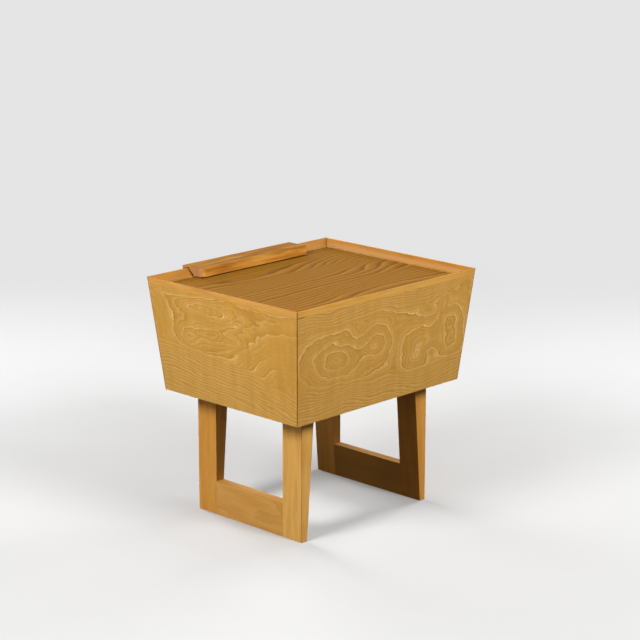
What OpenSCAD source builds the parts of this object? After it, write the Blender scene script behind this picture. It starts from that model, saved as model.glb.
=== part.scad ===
// A bedside table: a flared, mitred case with a sunk tray top and one drawer,
// standing on two frames whose posts taper towards the floor.
// X runs left to right seen from the front, the drawer opens towards -Y, and Z is up.
// The origin lies on the floor, below the middle of the whole piece's outline.

/* [Case] */
// Width over the top edges of the case
case_w = 558.8; // [500:0.1:640]
// Depth over the top edges of the case
case_d = 457.2; // [420:0.1:520]
// Height of the case from its underside to the top of the rim
case_h = 254; // [230:0.1:290]
// How far each face leans out over the height of the case
flare = 25.4; // [12:0.1:34]
// Thickness of the side, back and front panels, measured level
wall = 19; // [16:0.5:22]
// Thickness of the bottom panel
bottom_t = 16; // [12:0.5:20]
// Thickness of the tray panel
tray_t = 12; // [9:0.5:16]

/* [Rim] */
// Depth of the tray below the top of the rim
tray_depth = 16.5; // [14:0.5:20]
// Width of the flat along the top of the rim
rim_flat = 5; // [3:0.5:8]
// Height of the solid strip along the top of each panel
strip_h = 14; // [10:0.5:18]

/* [Leg frames] */
// Height of the frames, from the floor to the underside of the case
leg_h = 279.4; // [220:0.1:340]
// Distance over the outer faces of the two frames
frame_span = 396; // [350:1:430]
// Length of each frame from front to back
frame_d = 320.5; // [280:0.5:350]
// Thickness of a frame at its top
frame_t_top = 38; // [34:0.5:46]
// Thickness of a frame at the floor
frame_t_foot = 16.5; // [14:0.5:26]
// Width of each post
post_w = 57; // [44:0.5:70]
// Height of the rail between the feet of the posts
foot_rail_h = 77; // [60:1:100]
// Thickness of the cleat between the tops of the posts
cleat_t = 18; // [16:0.5:24]

/* [Drawer] */
// Gap between the drawer front and the case
reveal = 1; // [0.6:0.1:1.6]
// Thickness of the drawer's sides and back
drawer_wall = 12; // [10:0.5:14]
// Thickness of the drawer's bottom
drawer_floor_t = 6; // [4:0.5:8]
// Height of the drawer's bottom above the lower edges of its sides
drawer_floor_up = 10; // [8:0.5:14]
// Depth of the grooves that hold the drawer's bottom and back
groove = 6; // [4:0.5:7]
// Depth to which the drawer's sides are housed in the front
housing = 8; // [5:0.5:10]
// How far the top of the drawer's back lies below the tops of its sides
back_below = 5; // [3:0.5:7]
// How far the drawer's back is set in from the ends of its sides
back_inset = 8; // [6:0.5:12]
// How far the drawer slides out
drawer_travel = 260; // [200:1:280]

/* [Runners and rails] */
// Height of the ledge that the drawer slides on, above the bottom panel
ledge_h = 8; // [6:0.5:12]
// How far the ledge reaches in under the drawer's side
ledge_w = 16; // [12:0.5:22]
// Width of the guide beside the drawer at the ledge
guide_w = 9; // [7:0.5:12]
// Height of the guide above the ledge
guide_h = 25; // [18:1:40]
// Distance from the drawer front back to the end of a runner
runner_back = 12; // [8:1:30]
// Height of the rails and kickers below the tray
rail_h = 20; // [16:0.5:24]
// Width of the front rail
rail_w = 45; // [35:1:60]
// Width of the cleat along the back
back_cleat_w = 30; // [24:1:40]
// Thickness of the blocks that stop the drawer as it closes
stop_t = 18; // [14:0.5:24]
// Width of the block that stops the drawer as it opens
catch_w = 60; // [40:1:90]
// Depth of that block from front to back
catch_d = 20; // [16:1:30]
// How far that block hangs below the rails
catch_drop = 15; // [12:0.5:20]
// Leg of the three-cornered glue blocks in the back corners
glue_leg = 25; // [18:1:28]

/* [Pull] */
// Length of the pull
pull_l = 328; // [260:1:380]
// Radius of the pull's four corners, seen from above
pull_corner_r = 5; // [2:0.5:7]
// Height of the pull's top above the rim
pull_rise = 5.5; // [5:0.5:7.5]
// How far the lip stands out in front of the rim
lip_out = 15; // [13:0.5:20]
// How far the lip hangs below the rim
lip_drop = 8; // [7:0.5:12]
// How far the pull reaches in from the outer edge of the rim
pull_reach = 50.5; // [44:0.5:64]
// Gap between the pull and the tray
pull_gap = 2.5; // [1.5:0.5:4]
// Gap between the pull and the bevel of the rim
pull_seam = 2.5; // [0.4:0.1:3]
// Radius of the nose along the top of the lip, which is as thick as that
nose_r = 7.5; // [6:0.5:8]
// Radius of the groove that clears the edge of the rim
relief_r = 2.5; // [1:0.5:3]
// Diameter of the dowels in the pull
pull_dowel_d = 6; // [4:0.5:7]
// Length of the dowels in the pull
pull_dowel_l = 18; // [14:0.5:20]

/* [Joints and fasteners] */
// Diameter of the dowels in the frames
dowel_d = 8; // [6:0.5:10]
// Length of the dowels in the frames
dowel_l = 50; // [36:1:60]
// Thickness of the splines in the back corners
spline_t = 4; // [3:0.5:5]
// Width of the splines in the back corners
spline_w = 14; // [10:0.5:15]
// Diameter of the screws' shanks
screw_d = 4; // [3:0.5:5]
// Diameter of the screws' heads
screw_head_d = 8; // [7:0.5:9]
// Length of the screws that hold the frames to the case
frame_screw_l = 30; // [26:0.5:31]
// Length of the screws that hold the drawer's bottom to its back
floor_screw_l = 20; // [14:0.5:26]
// Length of the screws that hold the catch block
catch_screw_l = 42; // [40:0.5:44]

/* [Hidden] */
$fn = 48;

// Running clearances of the drawer
slide_gap = 0.3;
side_gap = 0.5;
lift_gap = 1.5;
stop_gap = 0.3;
// Room beside the catch block where the front rail is let in for it
catch_gap = 0.3;
// Spare depth beyond the end of a dowel, and spare length of a cutting shape
dowel_spare = 1;
cut = 2;

// Point, slot and slot depth of the screws
tip_l = 6;
slot_w = 1;
slot_deep = 1.2;
// Distance from the ends of the mitres to the ends of the splines
spline_end = 12;
// Distance from the runners and the rails to the glue blocks
glue_gap = 10;
// Distance of the dowels from the edges of the foot rail and from the ends of the pull
foot_dowel_in = 18;
pull_dowel_in = 40;
// Places of a cleat's two dowels, as shares of the frame's thickness
cleat_dowel_parts = [0.28, 0.72];
// Distance of the outer screws from the dowels of a cleat and from the drawer's sides
frame_screw_in = 18;
floor_screw_in = 60;
// Radius of the pull's inner edge, and of the small cove behind its lip
pull_edge_r = 3;
cove_r = 2.5;

// Levels, from the floor upwards
case_z = leg_h;
rim_z = case_z + case_h;
tray_z = rim_z - tray_depth;
tray_low = tray_z - tray_t;
strip_z = rim_z - strip_h;
floor_z = case_z + bottom_t;
ledge_z = floor_z + ledge_h;
rail_low = tray_low - rail_h;
drawer_low = ledge_z + slide_gap;
drawer_high = rail_low - lift_gap;
drawer_floor_z = drawer_low + drawer_floor_up;
drawer_floor_top = drawer_floor_z + drawer_floor_t;
drawer_back_high = drawer_high - back_below;

// The faces of the case lean out by the same share of the height all round
lean = flare / case_h;
function out_x(z) = case_w / 2 - lean * (rim_z - z);
function out_y(z) = case_d / 2 - lean * (rim_z - z);
function in_x(z) = out_x(z) - wall;
function in_y(z) = out_y(z) - wall;
bevel_in = wall + lean * tray_depth;
bevel_tilt = atan2(tray_depth, bevel_in - rim_flat);

// Places in the drawer
drawer_x = in_x(ledge_z) - guide_w - side_gap;
drawer_in_x = drawer_x - drawer_wall;
drawer_end = in_y(ledge_z) - stop_t - stop_gap;
drawer_back_y = drawer_end - back_inset - drawer_wall;
catch_y = drawer_back_y - drawer_travel - side_gap;
drawer_floor_front = in_y(drawer_floor_z) + groove;

// Places of the rails and the catch block below the tray
rail_back = rail_w - in_y(rail_low);
cleat_front = in_y(rail_low) - back_cleat_w;
catch_low = rail_low - catch_drop;

// Places in the leg frames
frame_x = frame_span / 2;
rail_l = frame_d - 2 * post_w;
function frame_t(z) = frame_t_foot + (frame_t_top - frame_t_foot) * z / leg_h;

// Half of what the pull's lip adds to the depth, so that the origin is in the middle
mid_y = lip_out / 2;

panel_c = [0.80, 0.58, 0.32];
rim_c = [0.84, 0.58, 0.30];
tray_c = [0.66, 0.46, 0.24];
leg_c = [0.78, 0.56, 0.30];
pull_c = [0.70, 0.45, 0.22];
box_c = [0.83, 0.70, 0.50];
inner_c = [0.72, 0.58, 0.40];
dowel_c = [0.88, 0.78, 0.60];
steel_c = [0.72, 0.72, 0.70];

// Moves the case's own middle to its place behind the origin
module placed() {
    translate([0, mid_y, 0]) children();
}

// Section of a wall that leans out to the right, with its bevelled rim
module wall_section(out_top) {
    polygon([
        [out_top - flare, case_z],
        [out_top, rim_z],
        [out_top - rim_flat, rim_z],
        [out_top - bevel_in, tray_z],
        [out_top - flare - wall, case_z]
    ]);
}

// Plan of a wall that stands to the right, with its ends cut at 45 degrees
module mitre_plan(out_top, half_len, gap) {
    deep = flare + wall + cut;
    polygon([
        [out_top - deep, gap + deep - half_len],
        [out_top + cut, gap - cut - half_len],
        [out_top + cut, half_len + cut - gap],
        [out_top - deep, half_len - deep - gap]
    ]);
}

// The stretch of a mitred wall between two levels, standing to the right
module case_wall(out_top, half_len, low, high, gap = 0) {
    intersection() {
        rotate([90, 0, 0])
            linear_extrude(2 * (half_len + cut), center = true) wall_section(out_top);
        translate([0, 0, low])
            linear_extrude(high - low) mitre_plan(out_top, half_len, gap);
    }
}

module wall_right(low, high) case_wall(case_w / 2, case_d / 2, low, high);
module wall_left(low, high) mirror([1, 0, 0]) wall_right(low, high);
module wall_back(low, high) rotate([0, 0, 90]) case_wall(case_d / 2, case_w / 2, low, high);
module wall_front(low, high) {
    rotate([0, 0, -90]) case_wall(case_d / 2, case_w / 2, low, high, reveal);
}

// A board that fills the inside of the case between two levels
module inner_board(low, high) {
    intersection() {
        rotate([90, 0, 0]) linear_extrude(case_d, center = true) polygon([
            [-in_x(low), low], [in_x(low), low], [in_x(high), high], [-in_x(high), high]
        ]);
        rotate([90, 0, 90]) linear_extrude(case_w, center = true) polygon([
            [reveal - in_y(low), low], [in_y(low), low],
            [in_y(high), high], [reveal - in_y(high), high]
        ]);
    }
}

// The part of such a board between two widths and two depths
module inner_strip(low, high, x_from, x_to, y_from, y_to) {
    intersection() {
        inner_board(low, high);
        translate([x_from, y_from, low - cut])
            cube([x_to - x_from, y_to - y_from, high - low + 2 * cut]);
    }
}

// A shape drawn in Y and Z, extruded between two widths
module across(x_from, x_to) {
    translate([x_from, 0, 0]) rotate([90, 0, 90]) linear_extrude(x_to - x_from) children();
}

// Wood screw with its head at the origin, pointing up
module screw_body(len) {
    head_h = (screw_head_d - screw_d) / 2;
    cylinder(h = head_h, r1 = screw_head_d / 2, r2 = screw_d / 2);
    cylinder(h = len - tip_l, r = screw_d / 2);
    translate([0, 0, len - tip_l]) cylinder(h = tip_l, r1 = screw_d / 2, r2 = screw_d / 8);
}
module screw(len) {
    difference() {
        screw_body(len);
        translate([-screw_head_d / 2, -slot_w / 2, -slot_deep])
            cube([screw_head_d, slot_w, 2 * slot_deep]);
    }
}

// Splines that cross the mitres of the two back corners
module spline_right(spare = 0) {
    low = floor_z + spline_end;
    high = strip_z - spline_end;
    mid = (low + high) / 2;
    tilt = atan2(flare * sqrt(2), case_h);
    len = (high - low) / cos(tilt) + 2 * spare;
    translate([out_x(mid) - wall / 2, out_y(mid) - wall / 2, mid])
        rotate([0, tilt, 45]) cube([spline_t, spline_w, len], center = true);
}
module splines(spare = 0) {
    spline_right(spare);
    mirror([1, 0, 0]) spline_right(spare);
}

module side_wall() {
    difference() {
        wall_right(case_z, strip_z);
        spline_right();
    }
}
module side_panel_right() color(panel_c) placed() side_wall();
module side_panel_left() color(panel_c) placed() mirror([1, 0, 0]) side_wall();
module back_panel() {
    color(panel_c) placed() difference() {
        wall_back(case_z, strip_z);
        splines();
    }
}
module corner_splines() color(dowel_c) placed() splines();

module rim_right() color(rim_c) placed() wall_right(strip_z, rim_z);
module rim_left() color(rim_c) placed() wall_left(strip_z, rim_z);
module rim_back() color(rim_c) placed() wall_back(strip_z, rim_z);

module bottom_panel() {
    color(inner_c) placed() difference() {
        inner_board(case_z, floor_z);
        frame_screw_places() screw_body(frame_screw_l);
    }
}
module tray_panel() {
    color(tray_c) placed() difference() {
        inner_board(tray_low, tray_z);
        catch_screw_places() screw_body(catch_screw_l);
    }
}

// Three-cornered blocks glued into the back corners, clear of the drawer
module glue_block() {
    low = ledge_z + guide_h + glue_gap;
    high = rail_low - glue_gap;
    corner = in_x(low) + in_y(low) - glue_leg;
    intersection() {
        inner_board(low, high);
        translate([0, 0, low - cut]) linear_extrude(high - low + 2 * cut) polygon([
            [corner - in_y(high), in_y(high)],
            [in_x(high), corner - in_x(high)],
            [in_x(high) + cut, in_y(high) + cut]
        ]);
    }
}
module glue_blocks() {
    color(inner_c) placed() {
        glue_block();
        mirror([1, 0, 0]) glue_block();
    }
}

// Rails, kickers and cleat that carry the tray. The front rail makes room for the catch block
// where a long travel brings the block that far forward
module front_rail() {
    color(inner_c) placed() difference() {
        inner_strip(rail_low, tray_low, -case_w / 2, case_w / 2, -case_d / 2, rail_back);
        catch_space(catch_gap);
    }
}
module back_cleat() {
    color(inner_c) placed()
        inner_strip(rail_low, tray_low, -case_w / 2, case_w / 2, cleat_front, case_d / 2);
}
module kicker() {
    inner_strip(rail_low, tray_low, drawer_x - ledge_w, case_w / 2, rail_back, cleat_front);
}
module kicker_right() color(inner_c) placed() kicker();
module kicker_left() color(inner_c) placed() mirror([1, 0, 0]) kicker();

// Ledge and guide for one side of the drawer
module runner() {
    high = ledge_z + guide_h;
    guide_x = drawer_x + side_gap;
    translate([0, in_y(floor_z), 0]) rotate([90, 0, 0])
        linear_extrude(2 * in_y(floor_z) - runner_back) polygon([
            [drawer_x - ledge_w, floor_z],
            [in_x(floor_z), floor_z],
            [in_x(high), high],
            [guide_x, high],
            [guide_x, ledge_z],
            [drawer_x - ledge_w, ledge_z]
        ]);
}
module runner_right() color(inner_c) placed() runner();
module runner_left() color(inner_c) placed() mirror([1, 0, 0]) runner();

// Blocks behind the drawer's sides, on the ledges
module stop_block() {
    high = ledge_z + guide_h;
    front = in_y(ledge_z) - stop_t;
    across(drawer_in_x, drawer_x) polygon([
        [front, ledge_z], [in_y(ledge_z), ledge_z], [in_y(high), high], [front, high]
    ]);
}
module stop_blocks() {
    color(inner_c) placed() {
        stop_block();
        mirror([1, 0, 0]) stop_block();
    }
}

// Block below the tray that catches the drawer's back
module catch_space(gap = 0) {
    translate([-catch_w / 2 - gap, catch_y - catch_d - gap, catch_low])
        cube([catch_w + 2 * gap, catch_d + 2 * gap, tray_low - catch_low]);
}
module catch_screw_places() {
    for (side = [-1, 1])
        translate([side * catch_w / 4, catch_y - catch_d / 2, catch_low]) children();
}
module catch_block() {
    color(inner_c) placed() difference() {
        catch_space();
        catch_screw_places() screw_body(catch_screw_l);
    }
}
module catch_screws() color(steel_c) placed() catch_screw_places() screw(catch_screw_l);

// Leg frame on the right: section through its thickness between two levels
module frame_bar(low, high, y_from, y_to) {
    translate([frame_x, y_to, 0]) rotate([90, 0, 0]) linear_extrude(y_to - y_from) polygon([
        [0, low], [0, high], [-frame_t(high), high], [-frame_t(low), low]
    ]);
}

// Dowels between the posts and the foot rail, two at each joint
module foot_dowel_places() {
    for (side = [-1, 1], z = [foot_dowel_in, foot_rail_h - foot_dowel_in])
        translate([frame_x - frame_t(z) / 2, side * rail_l / 2, z]) rotate([90, 0, 0])
            children();
}
// Dowels between the posts and the cleat, two at each joint
module cleat_dowel_places() {
    z = leg_h - cleat_t / 2;
    for (side = [-1, 1], part = cleat_dowel_parts)
        translate([frame_x - frame_t(z) * part, side * rail_l / 2, z]) rotate([90, 0, 0])
            children();
}
module dowel() cylinder(h = dowel_l, d = dowel_d, center = true);
module dowel_hole() cylinder(h = dowel_l + 2 * dowel_spare, d = dowel_d, center = true);

module post(side) {
    y_from = side > 0 ? rail_l / 2 : -frame_d / 2;
    difference() {
        frame_bar(0, leg_h, y_from, y_from + post_w);
        foot_dowel_places() dowel_hole();
        cleat_dowel_places() dowel_hole();
    }
}
module foot_rail() {
    difference() {
        frame_bar(0, foot_rail_h, -rail_l / 2, rail_l / 2);
        foot_dowel_places() dowel_hole();
    }
}
module frame_cleat() {
    difference() {
        frame_bar(leg_h - cleat_t, leg_h, -rail_l / 2, rail_l / 2);
        cleat_dowel_places() dowel_hole();
        frame_screw_line() screw_body(frame_screw_l);
    }
}

// Screws up through each cleat into the bottom panel, clear of the dowels
module frame_screw_line() {
    reach = rail_l / 2 - dowel_l / 2 - frame_screw_in;
    x = frame_x - frame_t(leg_h) / 2;
    for (part = [-1, 0, 1]) translate([x, part * reach, leg_h - cleat_t]) children();
}
module frame_screw_places() {
    frame_screw_line() children();
    mirror([1, 0, 0]) frame_screw_line() children();
}

module post_front_right() color(leg_c) placed() post(-1);
module post_back_right() color(leg_c) placed() post(1);
module post_front_left() color(leg_c) placed() mirror([1, 0, 0]) post(-1);
module post_back_left() color(leg_c) placed() mirror([1, 0, 0]) post(1);
module foot_rail_right() color(leg_c) placed() foot_rail();
module foot_rail_left() color(leg_c) placed() mirror([1, 0, 0]) foot_rail();
module frame_cleat_right() color(leg_c) placed() frame_cleat();
module frame_cleat_left() color(leg_c) placed() mirror([1, 0, 0]) frame_cleat();
module foot_dowels() {
    color(dowel_c) placed() {
        foot_dowel_places() dowel();
        mirror([1, 0, 0]) foot_dowel_places() dowel();
    }
}
module cleat_dowels() {
    color(dowel_c) placed() {
        cleat_dowel_places() dowel();
        mirror([1, 0, 0]) cleat_dowel_places() dowel();
    }
}
module frame_screws() color(steel_c) placed() frame_screw_places() screw(frame_screw_l);

// Side of the drawer on the right; its front end slopes with the drawer front
module drawer_side_blank() {
    across(drawer_in_x, drawer_x) polygon([
        [-in_y(drawer_low) - housing, drawer_low],
        [drawer_end, drawer_low],
        [drawer_end, drawer_high],
        [-in_y(drawer_high) - housing, drawer_high]
    ]);
}
module drawer_floor_blank() {
    half = drawer_in_x + groove;
    translate([-half, -drawer_floor_front, drawer_floor_z])
        cube([2 * half, drawer_floor_front + drawer_end, drawer_floor_t]);
}
module drawer_back_blank() {
    half = drawer_in_x + groove;
    translate([-half, drawer_back_y, drawer_floor_top])
        cube([2 * half, drawer_wall, drawer_back_high - drawer_floor_top]);
}
// Screws up through the drawer's bottom into its back
module floor_screw_places() {
    reach = drawer_in_x - floor_screw_in;
    for (part = [-1, 0, 1])
        translate([part * reach, drawer_back_y + drawer_wall / 2, drawer_floor_z]) children();
}
module drawer_side() {
    difference() {
        drawer_side_blank();
        drawer_floor_blank();
        drawer_back_blank();
    }
}
module drawer_side_right() color(box_c) placed() drawer_side();
module drawer_side_left() color(box_c) placed() mirror([1, 0, 0]) drawer_side();
module drawer_back() {
    color(box_c) placed() difference() {
        drawer_back_blank();
        floor_screw_places() screw_body(floor_screw_l);
    }
}
module drawer_floor() {
    color(box_c) placed() difference() {
        drawer_floor_blank();
        floor_screw_places() screw_body(floor_screw_l);
    }
}
module floor_screws() color(steel_c) placed() floor_screw_places() screw(floor_screw_l);

module drawer_front() {
    color(panel_c) placed() difference() {
        wall_front(case_z, strip_z);
        drawer_side_blank();
        mirror([1, 0, 0]) drawer_side_blank();
        drawer_floor_blank();
        pull_dowel_places() pull_dowel_hole();
    }
}
module rim_front() {
    color(rim_c) placed() difference() {
        wall_front(strip_z, rim_z);
        pull_dowel_places() pull_dowel_hole();
    }
}

// Dowels square to the bevel that hold the pull, three along its length
module pull_dowel_places() {
    reach = pull_l / 2 - pull_dowel_in;
    for (part = [-1, 0, 1])
        translate([part * reach, (rim_flat + bevel_in) / 2 - case_d / 2, rim_z - tray_depth / 2])
            rotate([-bevel_tilt, 0, 0]) children();
}
module pull_dowel() cylinder(h = pull_dowel_l, d = pull_dowel_d, center = true);
module pull_dowel_hole() {
    cylinder(h = pull_dowel_l + 2 * dowel_spare, d = pull_dowel_d, center = true);
}

// Section of the pull; the outer edge of the rim's top is at its origin
module pull_section() {
    low = pull_gap - tray_depth;
    slope = (bevel_in - rim_flat) / tray_depth;
    seam_x = pull_seam / sin(bevel_tilt);
    edge_x = pull_reach - pull_edge_r;
    lip_x = nose_r - lip_out;
    nose_z = pull_rise - nose_r;
    lip_z = nose_r / 2 - lip_drop;
    difference() {
        union() {
            // Bar over the rim and the block inside it, with a rounded inner edge
            translate([lip_x, 0]) square([edge_x - lip_x, pull_rise]);
            translate([rim_flat, low]) square([edge_x - rim_flat, pull_rise - low]);
            translate([edge_x - pull_edge_r, low])
                square([2 * pull_edge_r, pull_rise - pull_edge_r - low]);
            translate([edge_x, pull_rise - pull_edge_r]) circle(pull_edge_r);
            // Nose, lip and the small cove behind the lip
            intersection() {
                translate([lip_x, nose_z]) circle(nose_r);
                translate([-lip_out, nose_z]) square(nose_r);
            }
            translate([-lip_out, lip_z]) square([nose_r, nose_z - lip_z]);
            translate([-lip_out + nose_r / 2, lip_z]) circle(nose_r / 2);
            difference() {
                translate([lip_x, -cove_r]) square(cove_r);
                translate([lip_x + cove_r, -cove_r]) circle(cove_r);
            }
        }
        // Bevel of the rim with the seam beside it, and the groove over its edge
        polygon([
            [rim_flat - cut, 0],
            [rim_flat + seam_x, 0],
            [rim_flat + seam_x - slope * (low - cut), low - cut],
            [rim_flat - cut, low - cut]
        ]);
        translate([rim_flat, 0]) circle(relief_r);
    }
}
// Outline of the pull seen from above, with its rounded corners
module pull_plan() {
    half = pull_l / 2 - pull_corner_r;
    front = pull_corner_r - lip_out;
    back = pull_reach - pull_corner_r;
    translate([-half, -lip_out]) square([2 * half, lip_out + pull_reach]);
    translate([-pull_l / 2, front]) square([pull_l, back - front]);
    for (x = [-half, half], y = [front, back]) translate([x, y]) circle(pull_corner_r);
}
module pull() {
    color(pull_c) placed() difference() {
        translate([0, -case_d / 2, rim_z]) intersection() {
            across(-pull_l / 2, pull_l / 2) pull_section();
            translate([0, 0, -case_h / 2]) linear_extrude(case_h) pull_plan();
        }
        pull_dowel_places() pull_dowel_hole();
    }
}
module pull_dowels() color(dowel_c) placed() pull_dowel_places() pull_dowel();

side_panel_left();
side_panel_right();
back_panel();
bottom_panel();
tray_panel();
rim_left();
rim_right();
rim_back();
corner_splines();
glue_blocks();
front_rail();
back_cleat();
kicker_left();
kicker_right();
runner_left();
runner_right();
stop_blocks();
catch_block();
catch_screws();
post_front_left();
post_back_left();
post_front_right();
post_back_right();
foot_rail_left();
foot_rail_right();
frame_cleat_left();
frame_cleat_right();
foot_dowels();
cleat_dowels();
frame_screws();
drawer_front();
rim_front();
drawer_side_left();
drawer_side_right();
drawer_back();
drawer_floor();
floor_screws();
pull();
pull_dowels();
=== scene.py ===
# %% [markdown]
# A bedside table, dressed for its picture.
# The frame that is loaded here is the finished construction: every board, dowel and screw at its real
# size. This lesson makes the boards that show, with eased edges and the figure of their wood, and sets
# up the picture. Sizes are in metres, and in the recipes for wood in millimetres. The drawer front
# faces -Y, +X is on the right seen from the front, and the camera stands behind the right back corner.

# %% The frame and the tools
import math

import bpy
from mathutils import Matrix, Vector


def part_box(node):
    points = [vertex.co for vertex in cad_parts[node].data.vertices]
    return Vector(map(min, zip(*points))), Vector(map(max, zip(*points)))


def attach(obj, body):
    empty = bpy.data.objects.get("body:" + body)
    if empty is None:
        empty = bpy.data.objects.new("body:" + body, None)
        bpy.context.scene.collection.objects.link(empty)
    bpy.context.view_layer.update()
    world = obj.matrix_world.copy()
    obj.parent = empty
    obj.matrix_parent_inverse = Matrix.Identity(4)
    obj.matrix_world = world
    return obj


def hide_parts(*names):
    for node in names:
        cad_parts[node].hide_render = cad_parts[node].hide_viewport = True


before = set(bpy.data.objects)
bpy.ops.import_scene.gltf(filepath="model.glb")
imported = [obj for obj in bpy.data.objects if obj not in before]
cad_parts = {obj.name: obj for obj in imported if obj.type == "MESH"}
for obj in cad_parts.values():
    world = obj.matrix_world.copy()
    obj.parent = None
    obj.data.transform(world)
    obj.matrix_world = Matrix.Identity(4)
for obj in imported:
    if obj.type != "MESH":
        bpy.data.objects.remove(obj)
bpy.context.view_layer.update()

# %% [markdown]
# Sizes come from the frame, so that each board that is made here fits the construction.
# The four walls of the case lean outwards. Two boxes are enough to find how much: the bottom panel
# touches the inside of the walls a little higher up than their lower edge. The slope of the strips'
# bevel is found in the same way, from a strip and the tray.

# %% Sizes of the case
MM = 0.001


def corners(node):
    """Lowest and highest corner of a part of the frame."""
    low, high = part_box(node)
    return Vector(low), Vector(high)


wall_low, wall_high = corners("side_panel_right")
rim_low, rim_high = corners("rim_right")
bottom_high = corners("bottom_panel")[1]
tray_high = corners("tray_panel")[1]
case_mid = Vector((0, (wall_low.y + wall_high.y) / 2, 0))
case_level = wall_low.z
strip_level = wall_high.z
rim_level = rim_high.z
tray_level = tray_high.z
half_wide = rim_high.x
half_deep = corners("rim_back")[1].y - case_mid.y
lean = (bottom_high.x - wall_low.x) / (bottom_high.z - case_level)
wall = wall_high.x - wall_low.x - lean * (strip_level - case_level)
bevel_run = (rim_low.x - tray_high.x) / (strip_level - tray_level)
rim_flat = half_wide - tray_high.x - bevel_run * (rim_level - tray_level)
print("case at the rim:", round(2 * half_wide, 4), "x", round(2 * half_deep, 4), "lean", round(lean, 4))
print("wall", round(wall, 4), "rim flat", round(rim_flat, 4))

# %% [markdown]
# The camera is set before any piece, because every later choice is judged through it.
# A long lens far away keeps the upright edges nearly parallel. It circles the middle of the piece, and
# two small turns aim it a little beside and above that point, in place of a lens shift.

# %% Camera
circled_level_mm = 285.75
circled_point = case_mid + Vector((0, 0, circled_level_mm)) * MM
camera_distance = 4690.46 * MM
camera_azimuth = math.radians(134.268)
camera_elevation = math.radians(16.1097)
aim_right = math.radians(0.19582)
aim_up = math.radians(1.65478)
camera_roll = math.radians(0.0358)
lens_mm = 119.216
sensor_mm = 36
farthest_seen = 50


def camera_turn():
    """Rotation of the camera, and the direction from the piece to it."""
    flat = math.cos(camera_elevation)
    back = Vector((
        math.sin(camera_azimuth) * flat,
        -math.cos(camera_azimuth) * flat,
        math.sin(camera_elevation),
    ))
    right = (-back).cross(Vector((0, 0, 1))).normalized()
    up = right.cross(-back)
    aim = (-back + right * math.tan(aim_right) + up * math.tan(aim_up)).normalized()
    right = aim.cross(Vector((0, 0, 1))).normalized()
    up = right.cross(aim)
    turn = Matrix((right, up, -aim)).transposed() @ Matrix.Rotation(camera_roll, 3, "Z")
    return turn.to_euler(), back


camera_rotation, camera_back = camera_turn()
bpy.ops.object.camera_add(location=circled_point + camera_back * camera_distance, rotation=camera_rotation)
camera = bpy.context.object
camera.name = "picture_camera"
camera.data.lens = lens_mm
camera.data.sensor_width = sensor_mm
camera.data.clip_end = farthest_seen
bpy.context.scene.camera = camera
print("camera at", [round(x, 3) for x in camera.location], "lens", lens_mm, "mm")

# %% [markdown]
# The light is plain, so that a colour renders about as it is written.
# A weak white sky fills all sides, and a ring of large softboxes above the piece gives the rest. Light
# from above leaves the underside and the inner faces of the frames dark, as in a room; a dome of light
# would make them as bright as the top. The left and front softboxes stand lower, so that their light
# reaches the bevels but glances off the tray. A weak one on the right, near the floor, lifts the legs.

# %% Light and floor
sky_above = 0.2
sky_level = 0.02
backdrop_tone = 0.78
softboxes = {
    "right_softbox": ((2.6, -0.05, 2.2), 85),
    "low_softbox": ((2.6, 0.35, 0.45), 9),
    "back_softbox": ((-0.05, 2.6, 2.2), 85.5),
    "left_softbox": ((-2.6, 0.05, 1.3), 56),
    "front_softbox": ((-0.25, -2.6, 1.3), 58),
}
softbox_size = 1.1
lit_point = (0, 0, 0.4)
floor_size = 30


def lamp(name, place, target, size, power):
    """A round softbox that faces a target."""
    bpy.ops.object.light_add(type="AREA", location=place)
    made = bpy.context.object
    made.name = name
    made.data.shape = "DISK"
    made.data.size = size
    made.data.energy = power
    made.rotation_euler = (Vector(target) - Vector(place)).to_track_quat("-Z", "Y").to_euler()
    return made


def studio_sky():
    """A sky that is stronger overhead; the camera and mirrors see an even pale backdrop."""
    world = bpy.data.worlds.new("studio_sky")
    bpy.context.scene.world = world
    world.use_nodes = True
    tree = world.node_tree
    kinds = ("TexCoord", "SeparateXYZ", "MapRange", "LightPath", "Math", "Math", "Mix")
    here, split, rise, rays, direct, seen, choice = (tree.nodes.new("ShaderNode" + k) for k in kinds)
    background = tree.nodes["Background"]
    direct.operation = "MAXIMUM"
    seen.operation = "MAXIMUM"
    rise.inputs["To Min"].default_value = sky_level
    rise.inputs["To Max"].default_value = sky_above
    choice.inputs["B"].default_value = backdrop_tone
    background.inputs["Color"].default_value = (1, 1, 1, 1)
    for value, socket in (
        (here.outputs["Generated"], split.inputs[0]),
        (split.outputs["Z"], rise.inputs["Value"]),
        (rays.outputs["Is Camera Ray"], direct.inputs[0]),
        (rays.outputs["Is Transmission Ray"], direct.inputs[1]),
        (direct.outputs[0], seen.inputs[0]),
        (rays.outputs["Is Glossy Ray"], seen.inputs[1]),
        (seen.outputs[0], choice.inputs["Factor"]),
        (rise.outputs[0], choice.inputs["A"]),
        (choice.outputs[0], background.inputs["Strength"]),
    ):
        tree.links.new(value, socket)


bpy.context.scene.view_settings.view_transform = "Standard"
studio_sky()
for name, (place, power) in softboxes.items():
    lamp(name, place, lit_point, softbox_size, power)
bpy.ops.mesh.primitive_plane_add(size=floor_size, location=(0, 0, 0))
floor = bpy.context.object
floor.name = "studio_floor"
print("sky", sky_level, "to", sky_above, "softboxes", len(softboxes))

# %% [markdown]
# Each board starts as a block and is cut to shape with flat cuts, as on a table saw.
# Blender's bisect does that: it cuts along a plane, drops what lies beyond, and fills the cut. Then a
# small bevel eases the edges, because the thin bright line on an eased edge is what makes a board look
# solid. The edges at glued joints are eased less, so that the joint shows as a hairline.

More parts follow.
